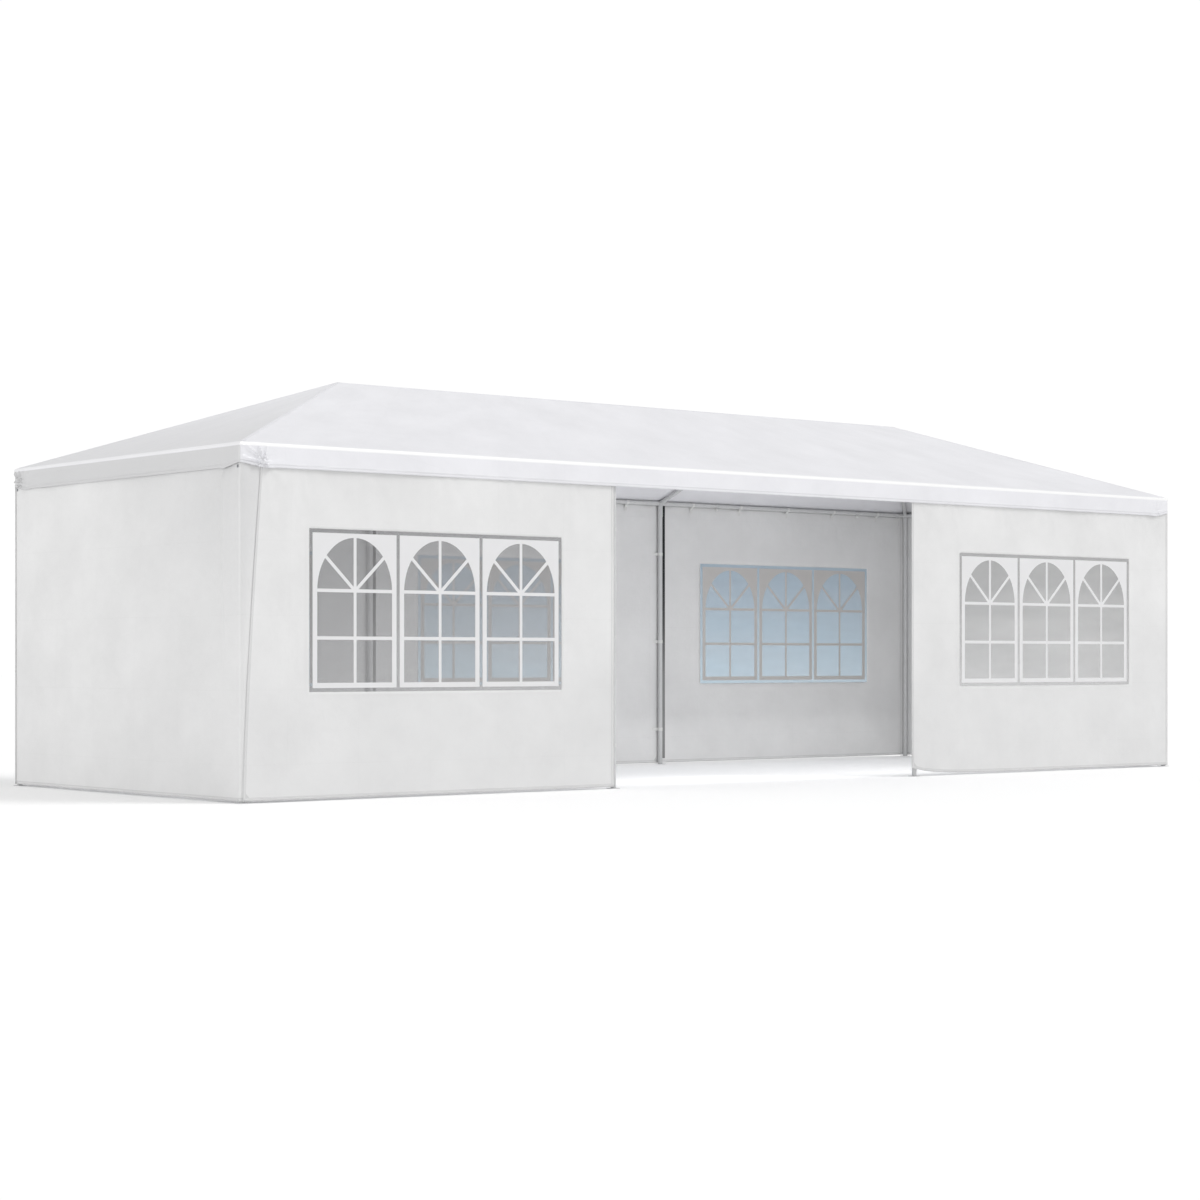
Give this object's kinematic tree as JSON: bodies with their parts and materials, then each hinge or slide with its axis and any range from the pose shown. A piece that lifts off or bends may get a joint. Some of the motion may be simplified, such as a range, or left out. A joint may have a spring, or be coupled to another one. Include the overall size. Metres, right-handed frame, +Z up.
{
  "type": "marquee tent",
  "caption": "Long party tent with a hipped roof cover and valance on a tube frame, windowed side walls, plain ends and an open doorway bay.",
  "frame": {"origin": "on the ground, at the centre of the tent's plan", "axes": "+X along the tent's length, towards the right end seen from the doorway side; +Y from the doorway side towards the back; +Z up"},
  "size_m": [9.07, 3.07, 2.86],
  "materials": {
    "frame_paint": "white powder-coated steel, satin",
    "roof_cloth": "white woven polyethylene sheet, slight sheen",
    "wall_cloth": "white woven polyethylene sheet, slight sheen",
    "window_film": "clear flexible film with a white printed grid"
  },
  "bodies": {
    "root": {"corner_head_back_left": "frame_paint", "corner_head_back_right": "frame_paint", "corner_head_front_left": "frame_paint", "corner_head_front_right": "frame_paint", "eave_rail_back_left": "frame_paint", "eave_rail_back_middle": "frame_paint", "eave_rail_back_right": "frame_paint", "eave_rail_end_left": "frame_paint", "eave_rail_end_right": "frame_paint", "eave_rail_front_left": "frame_paint", "eave_rail_front_middle": "frame_paint", "eave_rail_front_right": "frame_paint", "hip_rafter_back_left": "frame_paint", "hip_rafter_back_right": "frame_paint", "hip_rafter_front_left": "frame_paint", "hip_rafter_front_right": "frame_paint", "leg_back_left": "frame_paint", "leg_back_mid_left": "frame_paint", "leg_back_mid_right": "frame_paint", "leg_back_right": "frame_paint", "leg_front_left": "frame_paint", "leg_front_mid_left": "frame_paint", "leg_front_mid_right": "frame_paint", "leg_front_right": "frame_paint", "rafter_back_left": "frame_paint", "rafter_back_right": "frame_paint", "rafter_front_left": "frame_paint", "rafter_front_right": "frame_paint", "ridge_end_head_left": "frame_paint", "ridge_end_head_right": "frame_paint", "ridge_head_left": "frame_paint", "ridge_head_right": "frame_paint", "ridge_rail_left": "frame_paint", "ridge_rail_middle": "frame_paint", "ridge_rail_right": "frame_paint", "side_head_back_mid_left": "frame_paint", "side_head_back_mid_right": "frame_paint", "side_head_front_mid_left": "frame_paint", "side_head_front_mid_right": "frame_paint", "wall_back_left": "wall_cloth", "wall_back_middle": "wall_cloth", "wall_back_right": "wall_cloth", "wall_end_left": "wall_cloth", "wall_end_right": "wall_cloth", "wall_front_left": "wall_cloth", "wall_front_right": "wall_cloth", "window_film_back_left": "window_film", "window_film_back_middle": "window_film", "window_film_back_right": "window_film", "window_film_front_left": "window_film", "window_film_front_right": "window_film", "roof_front": "roof_cloth", "roof_back": "roof_cloth", "roof_left": "roof_cloth", "roof_right": "roof_cloth"}
  },
  "joints": []
}
